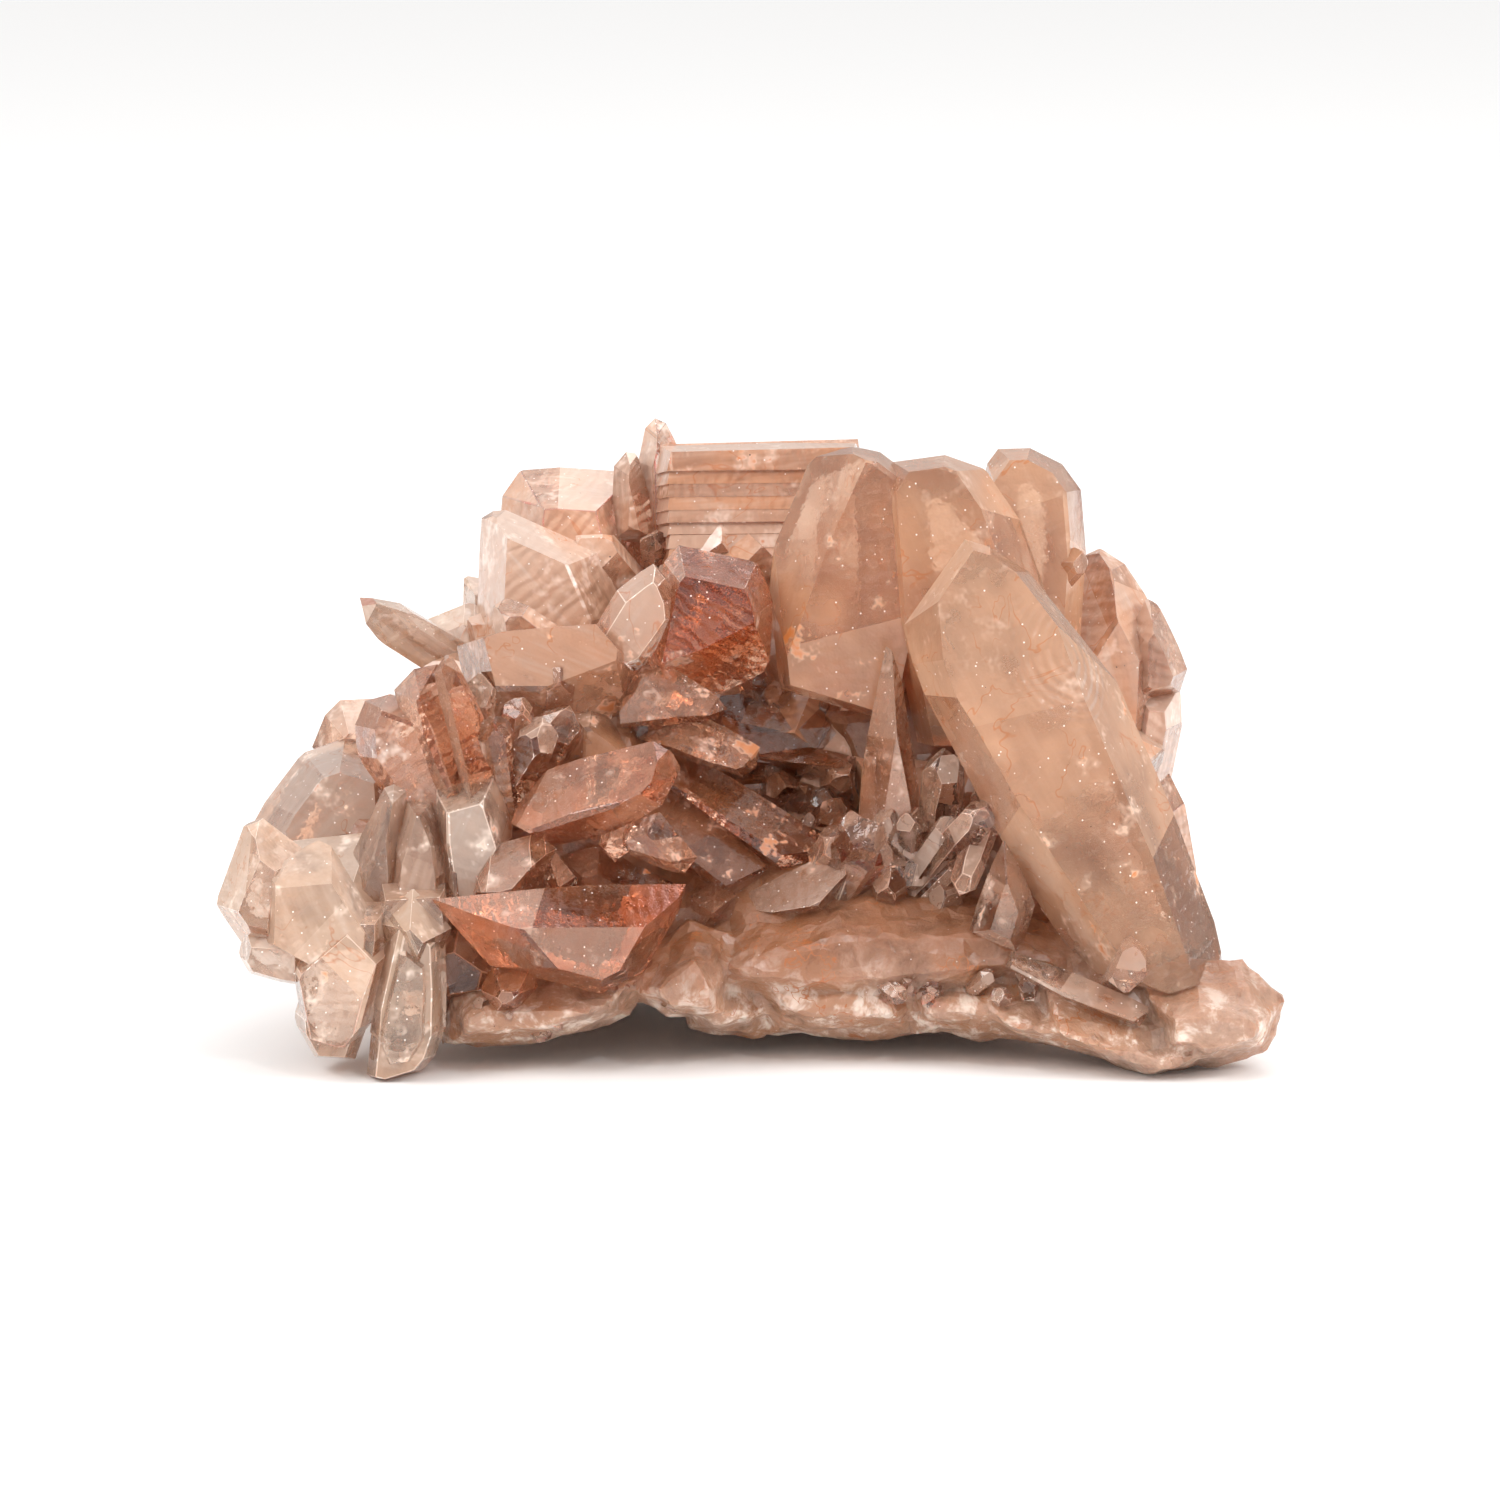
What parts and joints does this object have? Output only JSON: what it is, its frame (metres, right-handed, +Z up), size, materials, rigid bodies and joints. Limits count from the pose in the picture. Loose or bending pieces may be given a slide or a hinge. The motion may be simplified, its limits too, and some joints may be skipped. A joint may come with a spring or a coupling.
{
  "type": "lithium quartz cluster",
  "caption": "Cluster of flat-faced translucent peach-pink quartz points of many sizes, grown from a broken crust of milky quartz that stands on four worn lumps.",
  "frame": {"origin": "on the surface that the cluster stands on, under the middle of its bounding box", "axes": "+Z up, +X to the right along the longest side as the picture shows it, +Y to the back"},
  "size_m": [0.1062, 0.069, 0.0599],
  "materials": {
    "quartz": "glassy crystal faces, satin where milky, rust-stained in the hollows"
  },
  "bodies": {
    "root": {"quartz_cluster": "quartz"}
  },
  "joints": []
}
